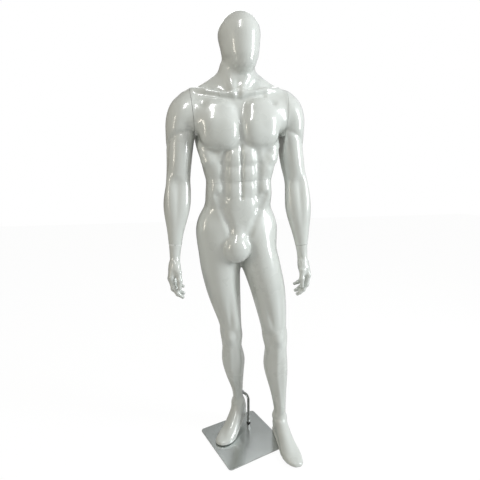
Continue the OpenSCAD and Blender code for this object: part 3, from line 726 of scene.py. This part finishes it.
def hand_field(p):
    d = Line([[-100, -2, 0, 17, 34], [-70, 1, 0, 20, 27], [-40, 0, 0, 22, 25], [0, 0, 0, 26, 26],
              [20, 0, 0, 27, 27]], power=2.1)(p, 10)
    # back of the hand, heel of the hand and the thumb's pad
    palm = ball(p, (-10, 2, -118), (15, 38, 44), (0, 4, 0))
    for knuckle, *_ in FINGERS:
        start = np.array([knuckle[0] * 0.3 - 2, knuckle[1] * 0.5, -84])
        palm = join(palm, rod(p, start, np.array(knuckle) + [1, 0, 0], 14, 11.5), 9)
    palm = join(palm, ball(p, (2, 20, -104), (14, 18, 34), (0, 4, 0)), 10)
    palm = join(palm, ball(p, (8, -22, -102), (15, 16, 32), (-12, 8, 0)), 10)
    d = join(d, palm, 16)
    for knuckle, bones, r0, r1, curl in FINGERS:
        at = np.array(knuckle, float)
        points, radii = [at], [r0]
        spread = (at[1] - 2) * 0.0022
        for n, (bone, angle) in enumerate(zip(bones, curl)):
            a = math.radians(angle)
            at = at + bone * np.array([math.sin(a), -spread, -math.cos(a)])
            points.append(at)
            radii.append(r0 + (r1 - r0) * (n + 1) / 3)
        finger = chain(p, points, radii, 4)
        for n in (0, 1, 2):
            finger = join(finger, ball(p, points[n], (radii[n] * 1.08,) * 3), 5)
        d = join(d, finger, 4)
    bones = [(6, -20, -84), (16, -32, -112), (22, -37, -148), (23, -36, -178)]
    thumb = chain(p, bones, [14, 12.5, 10.5, 8.0], 7)
    thumb = join(thumb, ball(p, (22, -37, -146), (10.5, 11.5, 12)), 4)
    return join(d, thumb, 9)


def hand(p, plane, s):
    """The shared hand, set on a wrist seam; s is -1 for the figure's right hand and 1 for its left."""
    at, axis = plane
    up = np.array(axis)
    side = np.cross((0, 1, 0), up)
    side /= np.linalg.norm(side)
    q = p - at
    q = np.stack([q @ side * -s, q @ np.cross(up, side), q @ up], 1)
    return hand_field(q)


# ---- Materials -------------------------------------------------------------------------------

def new_material(name):
    material = bpy.data.materials.new(name)
    material.use_nodes = True
    tree = material.node_tree
    return material, tree, tree.nodes["Principled BSDF"]


def node(tree, kind, **values):
    made = tree.nodes.new(kind)
    for key, value in values.items():
        if key in made.inputs:
            made.inputs[key].default_value = value
        else:
            setattr(made, key, value)
    return made


def ramp(tree, source, stops):
    """Colour ramp fed by source: stops are (place, colour)."""
    made = tree.nodes.new("ShaderNodeValToRGB")
    while len(made.color_ramp.elements) < len(stops):
        made.color_ramp.elements.new(0.5)
    for element, (place, colour) in zip(made.color_ramp.elements, stops):
        element.position = place
        element.color = (*colour, 1)
    tree.links.new(source, made.inputs["Fac"])
    return made


def noise(tree, scale, detail=3.0, stretch=(1, 1, 1)):
    where = node(tree, "ShaderNodeTexCoord")
    mapping = node(tree, "ShaderNodeMapping")
    mapping.inputs["Scale"].default_value = stretch
    made = node(tree, "ShaderNodeTexNoise", Scale=scale, Detail=detail)
    tree.links.new(where.outputs["Object"], mapping.inputs["Vector"])
    tree.links.new(mapping.outputs["Vector"], made.inputs["Vector"])
    return made.outputs["Fac"]


def roughness_range(tree, shader, source, low, high):
    made = node(tree, "ShaderNodeMapRange")
    made.inputs["To Min"].default_value = low
    made.inputs["To Max"].default_value = high
    tree.links.new(source, made.inputs["Value"])
    tree.links.new(made.outputs["Result"], shader.inputs["Roughness"])


def bump(tree, shader, source, strength, distance):
    made = node(tree, "ShaderNodeBump", Strength=strength, Distance=distance)
    tree.links.new(source, made.inputs["Height"])
    tree.links.new(made.outputs["Normal"], shader.inputs["Normal"])


def white_lacquer():
    """Sprayed white gloss over moulded glass fibre: faint shade drift, light orange peel, uneven shine."""
    material, tree, shader = new_material("shell_white")
    tint = ramp(tree, noise(tree, 2.0, 2.0), [(0.3, (0.640, 0.660, 0.630)), (0.7, (0.655, 0.675, 0.645))])
    tree.links.new(tint.outputs["Color"], shader.inputs["Base Color"])
    roughness_range(tree, shader, noise(tree, 9.0, 3.0), 0.24, 0.32)
    bump(tree, shader, noise(tree, 120.0, 1.0), 0.02, 0.0005)
    shader.inputs["Specular IOR Level"].default_value = 0.5
    shader.inputs["Coat Weight"].default_value = 1.0
    shader.inputs["Coat Roughness"].default_value = 0.06
    shader.inputs["Coat IOR"].default_value = 1.5
    return material


def metal(name, low_colour, high_colour, rough_low, rough_high, grain, grain_scale, grain_bump):
    """Polished or satin steel with a drawn grain along one axis and small differences in shine."""
    material, tree, shader = new_material(name)
    shader.inputs["Metallic"].default_value = 1.0
    tint = ramp(tree, noise(tree, 9.0, 4.0), [(0.3, low_colour), (0.7, high_colour)])
    tree.links.new(tint.outputs["Color"], shader.inputs["Base Color"])
    roughness_range(tree, shader, noise(tree, 22.0, 6.0), rough_low, rough_high)
    bump(tree, shader, noise(tree, grain_scale, 4.0, grain), grain_bump, 0.0004)
    return material


def black_rubber():
    material, tree, shader = new_material("bush_black")
    tint = ramp(tree, noise(tree, 60.0, 4.0), [(0.3, (0.012, 0.012, 0.012)), (0.7, (0.028, 0.028, 0.027))])
    tree.links.new(tint.outputs["Color"], shader.inputs["Base Color"])
    roughness_range(tree, shader, noise(tree, 180.0, 4.0), 0.45, 0.7)
    bump(tree, shader, noise(tree, 700.0, 3.0), 0.2, 0.0004)
    return material


def felt():
    material, tree, shader = new_material("mat_felt")
    fibres = noise(tree, 900.0, 6.0, (1, 1, 3))
    tint = ramp(tree, fibres, [(0.35, (0.010, 0.010, 0.011)), (0.7, (0.05, 0.05, 0.052))])
    tree.links.new(tint.outputs["Color"], shader.inputs["Base Color"])
    roughness_range(tree, shader, fibres, 0.85, 1.0)
    bump(tree, shader, fibres, 0.5, 0.0006)
    return material


def plywood():
    material, tree, shader = new_material("ring_plywood")
    grain = noise(tree, 30.0, 6.0, (1, 12, 12))
    tint = ramp(tree, grain, [(0.3, (0.36, 0.23, 0.12)), (0.6, (0.56, 0.40, 0.24)),
                              (0.8, (0.62, 0.47, 0.30))])
    tree.links.new(tint.outputs["Color"], shader.inputs["Base Color"])
    roughness_range(tree, shader, grain, 0.5, 0.75)
    bump(tree, shader, grain, 0.15, 0.0004)
    return material


MATERIALS = {
    "shell_white": white_lacquer(),
    "plate_steel": metal("plate_steel", (0.66, 0.69, 0.685), (0.70, 0.73, 0.725), 0.18, 0.26,
                         (1, 14, 1), 40.0, 0.02),
    "rod_steel": metal("rod_steel", (0.40, 0.41, 0.40), (0.48, 0.48, 0.47), 0.14, 0.24,
                       (1, 1, 0.05), 300.0, 0.03),
    "fitting_steel": metal("fitting_steel", (0.42, 0.43, 0.44), (0.56, 0.57, 0.57), 0.25, 0.42,
                           (1, 1, 1), 240.0, 0.06),
    "bush_black": black_rubber(),
    "mat_felt": felt(),
    "ring_plywood": plywood(),
}


def dress_cad_nodes():
    """Every CAD node that still shows gets its slot's procedural material."""
    slots = {s["node"]: s["material_slot"] for s in frame["record"]["subparts"]}
    for name, cad in frame["nodes"].items():
        cad.data.materials.clear()
        cad.data.materials.append(MATERIALS[slots[name]])


# ---- Camera, floor and light ------------------------------------------------------------------

CAMERA_AT = (-0.2808, -1.5587, 1.2274)
CAMERA_YAW = 10.0
CAMERA_PITCH = 9.627
CAMERA_ROLL = 0.418
CAMERA_LENS = 27.75
SENSOR = 36.0


def make_camera():
    data = bpy.data.cameras.new("camera")
    data.lens = CAMERA_LENS
    data.sensor_width = SENSOR
    camera = bpy.data.objects.new("camera", data)
    bpy.context.scene.collection.objects.link(camera)
    yaw, pitch, roll = (math.radians(v) for v in (CAMERA_YAW, CAMERA_PITCH, CAMERA_ROLL))
    forward = Vector((math.sin(yaw) * math.cos(pitch), math.cos(yaw) * math.cos(pitch), -math.sin(pitch)))
    right = Vector((math.cos(yaw), -math.sin(yaw), 0))
    up = right.cross(forward)
    x_axis = right * math.cos(roll) - up * math.sin(roll)
    y_axis = up * math.cos(roll) + right * math.sin(roll)
    camera.matrix_world = Matrix((
        (x_axis.x, y_axis.x, -forward.x, CAMERA_AT[0]),
        (x_axis.y, y_axis.y, -forward.y, CAMERA_AT[1]),
        (x_axis.z, y_axis.z, -forward.z, CAMERA_AT[2]),
        (0, 0, 0, 1)))
    bpy.context.scene.camera = camera


def make_floor():
    size = 9.0
    mesh = bpy.data.meshes.new("floor")
    corners = [(-size, -size, 0), (size, -size, 0), (size, size, 0), (-size, size, 0)]
    mesh.from_pydata(corners, [], [(0, 1, 2, 3)])
    floor = bpy.data.objects.new("floor", mesh)
    bpy.context.scene.collection.objects.link(floor)
    material, tree, shader = new_material("floor_paint")
    tint = ramp(tree, noise(tree, 0.8, 2.0), [(0.3, (0.62, 0.62, 0.61)), (0.7, (0.64, 0.64, 0.63))])
    tree.links.new(tint.outputs["Color"], shader.inputs["Base Color"])
    shader.inputs["Roughness"].default_value = 0.9
    glow = node(tree, "ShaderNodeEmission", Strength=1.06)
    mix = node(tree, "ShaderNodeMixShader")
    share = node(tree, "ShaderNodeMath")
    share.operation = "MULTIPLY"
    share.inputs[1].default_value = 0.9
    path = node(tree, "ShaderNodeLightPath")
    tree.links.new(path.outputs["Is Camera Ray"], share.inputs[0])
    tree.links.new(share.outputs["Value"], mix.inputs["Fac"])
    tree.links.new(shader.outputs["BSDF"], mix.inputs[1])
    tree.links.new(glow.outputs["Emission"], mix.inputs[2])
    tree.links.new(mix.outputs["Shader"], tree.nodes["Material Output"].inputs["Surface"])
    mesh.materials.append(material)


def area_light(name, at, aim, size, power, colour):
    data = bpy.data.lights.new(name, "AREA")
    data.shape = "RECTANGLE"
    data.size, data.size_y = size
    data.energy = power
    data.color = colour
    lamp = bpy.data.objects.new(name, data)
    bpy.context.scene.collection.objects.link(lamp)
    lamp.location = at
    lamp.rotation_mode = "QUATERNION"
    lamp.rotation_quaternion = (Vector(aim) - Vector(at)).to_track_quat("-Z", "Y")


def make_light():
    """A pale room: daylight from the right, a dim warm left, bright strips that the lacquer mirrors."""
    world = bpy.data.worlds.new("room")
    bpy.context.scene.world = world
    world.use_nodes = True
    tree = world.node_tree
    where = tree.nodes.new("ShaderNodeTexCoord")
    split = tree.nodes.new("ShaderNodeSeparateXYZ")
    tree.links.new(where.outputs["Generated"], split.inputs[0])
    halves = []
    for axis in ("X", "Z"):
        move = node(tree, "ShaderNodeMapRange")
        move.inputs["From Min"].default_value = -1.0
        move.inputs["From Max"].default_value = 1.0
        tree.links.new(split.outputs[axis], move.inputs["Value"])
        halves.append(move.outputs["Result"])
    across = ramp(tree, halves[0], [(0.0, (0.46, 0.43, 0.36)), (0.30, (0.34, 0.33, 0.30)),
                                    (0.52, (0.44, 0.45, 0.43)),
                                    (0.78, (1.0, 1.0, 1.0)), (1.0, (1.0, 1.0, 1.0))])
    upward = ramp(tree, halves[1], [(0.0, (0.30, 0.30, 0.29)), (0.48, (0.54, 0.54, 0.53)),
                                    (0.56, (0.9, 0.9, 0.9)),
                                    (1.0, (1.0, 1.0, 1.0))])
    both_ways = tree.nodes.new("ShaderNodeMixRGB")
    both_ways.blend_type = "MULTIPLY"
    both_ways.inputs["Fac"].default_value = 1.0
    tree.links.new(across.outputs["Color"], both_ways.inputs[1])
    tree.links.new(upward.outputs["Color"], both_ways.inputs[2])
    back = tree.nodes["Background"]
    tree.links.new(both_ways.outputs["Color"], back.inputs["Color"])
    back.inputs["Strength"].default_value = 0.66
    seen = tree.nodes.new("ShaderNodeBackground")
    seen.inputs["Color"].default_value = (1, 1, 1, 1)
    seen.inputs["Strength"].default_value = 1.0
    path = tree.nodes.new("ShaderNodeLightPath")
    mix = tree.nodes.new("ShaderNodeMixShader")
    tree.links.new(path.outputs["Is Camera Ray"], mix.inputs["Fac"])
    tree.links.new(back.outputs["Background"], mix.inputs[1])
    tree.links.new(seen.outputs["Background"], mix.inputs[2])
    tree.links.new(mix.outputs["Shader"], tree.nodes["World Output"].inputs["Surface"])
    aim = (0, 0, 1.0)
    area_light("window", (2.4, -1.1, 1.9), aim, (0.6, 1.7), 60, (0.93, 0.98, 1.0))
    area_light("top", (-0.7, -1.5, 3.3), (0, 0, 1.3), (0.35, 0.9), 20, (1.0, 1.0, 1.0))
    area_light("lamp", (-2.4, -1.0, 1.7), aim, (0.25, 1.2), 9, (1.0, 0.93, 0.80))
    area_light("rear", (0.2, 2.6, 3.5), aim, (1.8, 1.2), 12, (0.97, 0.99, 1.0))


# ---- Build -----------------------------------------------------------------------------------

def build_figure():
    white = MATERIALS["shell_white"]
    coarse = 1.0
    plan = [
        ("torso_shell", torso, TORSO_CUTS, (-225, -120, 1180), (225, 190, 1900), 3.3,
         "torso", "upper_torso"),
        ("lower_shell", lower_body, LOWER_CUTS, (-205, -240, 4), (245, 190, 1245), 3.6,
         "lower_figure", "lower_body"),
        ("right_arm_shell", right_arm, RIGHT_ARM_CUTS, (-350, -70, 925), (-160, 140, 1600), 2.6,
         "right_arm_assembly", "right_arm"),
        ("left_arm_shell", left_arm, LEFT_ARM_CUTS, (160, -70, 905), (345, 145, 1610), 2.6,
         "left_arm_assembly", "left_arm"),
        ("right_hand_shell", lambda p: hand(p, RIGHT_WRIST, -1), RIGHT_HAND_CUTS, (-345, -105, 715),
         (-200, 60, 975), 1.8, "right_hand_assembly", "right_hand"),
        ("left_hand_shell", lambda p: hand(p, LEFT_WRIST, 1), LEFT_HAND_CUTS, (200, -105, 695),
         (345, 60, 955), 1.8, "left_hand_assembly", "left_hand"),
    ]
    for name, field, cuts, low, high, step, body, cad in plan:
        sculpt(name, field, cuts, low, high, step * coarse, body, white, cad)


bpy.context.scene.view_settings.view_transform = "Standard"
make_camera()
make_floor()
make_light()
dress_cad_nodes()
build_figure()
